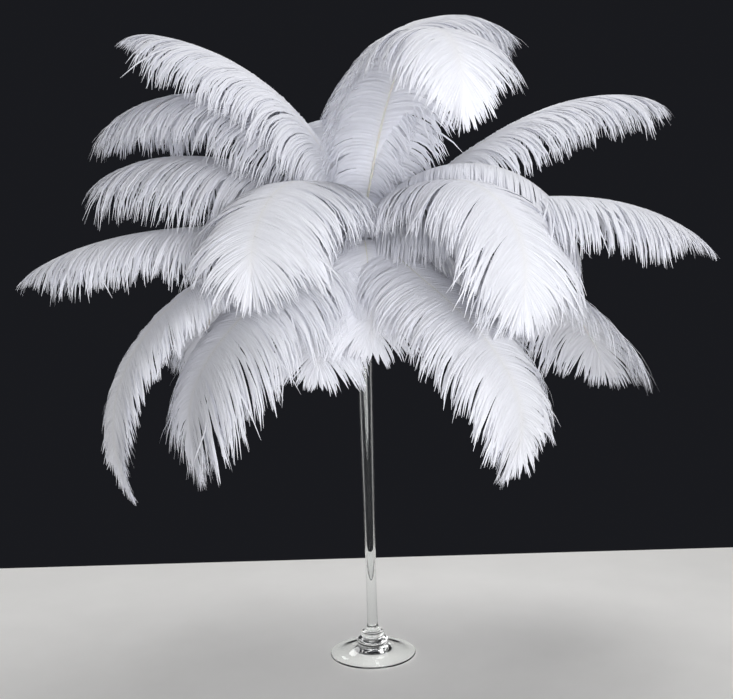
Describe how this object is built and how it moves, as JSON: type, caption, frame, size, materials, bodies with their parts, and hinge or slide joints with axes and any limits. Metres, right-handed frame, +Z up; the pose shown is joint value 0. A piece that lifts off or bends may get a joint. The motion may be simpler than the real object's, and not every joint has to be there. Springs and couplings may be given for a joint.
{
  "type": "ostrich feather arrangement in a tall glass vase",
  "caption": "Spray of white ostrich plumes that arch outward and hang from the mouth of a slim, clear glass trumpet vase on a round foot.",
  "frame": {"origin": "centre of the underside of the vase's foot, on the surface that it stands on", "axes": "+Z up along the vase, -Y towards the front of the spray, +X to its right as seen from the front"},
  "size_m": [0.9811, 0.7106, 0.9574],
  "materials": {
    "clear_glass": "polished clear",
    "white_plume": "soft, undyed white"
  },
  "bodies": {
    "root": {"vase": "clear_glass", "plume_front_left": "white_plume", "plume_front_right": "white_plume", "plume_right_long": "white_plume", "plume_left_long": "white_plume", "plume_back_right": "white_plume", "plume_back": "white_plume", "plume_back_left": "white_plume", "plume_low_right": "white_plume", "plume_low_left": "white_plume", "plume_low_left_back": "white_plume", "plume_low_right_back": "white_plume", "plume_low_front_left": "white_plume", "plume_low_front": "white_plume", "plume_back_low_left": "white_plume", "plume_back_low_right": "white_plume", "plume_back_low": "white_plume", "plume_right_mid": "white_plume", "plume_crown": "white_plume", "plume_crown_right": "white_plume", "plume_left_high": "white_plume", "plume_right_high": "white_plume", "plume_left_mid_back": "white_plume", "plume_left_high_back": "white_plume", "plume_crown_left": "white_plume"}
  },
  "joints": []
}
